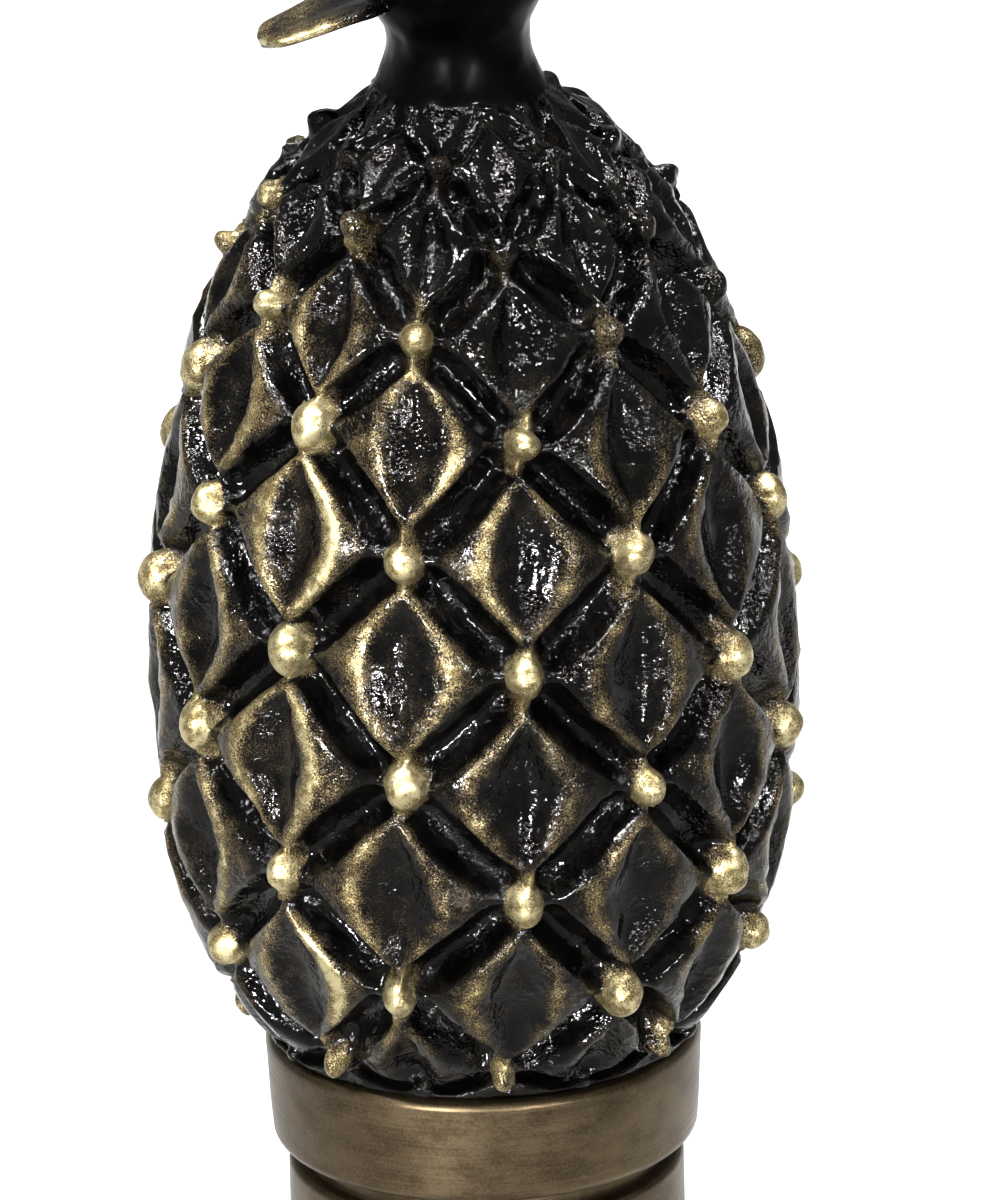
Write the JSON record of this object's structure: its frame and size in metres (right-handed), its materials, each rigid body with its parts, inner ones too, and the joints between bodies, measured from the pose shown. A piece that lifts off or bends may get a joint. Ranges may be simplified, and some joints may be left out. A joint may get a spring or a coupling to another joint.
{
  "type": "pineapple finial",
  "caption": "Cast pineapple finial with a studded diamond lattice and a leaf crown, on a turned collar and a sleeve that slips over the end of a round curtain pole.",
  "frame": {"origin": "middle of the sleeve's open lower end, the plane that the part stands on", "axes": "+Z along the finial's axis from the sleeve up to the crown, -Y towards the front, +X to the front view's right"},
  "size_m": [0.0446, 0.0445, 0.1318],
  "materials": {
    "blackened_brass": "antique brass, gloss black in the channels and rubbed back to pale gold on the studs and ridges",
    "brushed_brass": "brushed antique brass, satin"
  },
  "bodies": {
    "root": {"pineapple": "blackened_brass", "collar": "brushed_brass", "sleeve": "brushed_brass"}
  },
  "joints": []
}
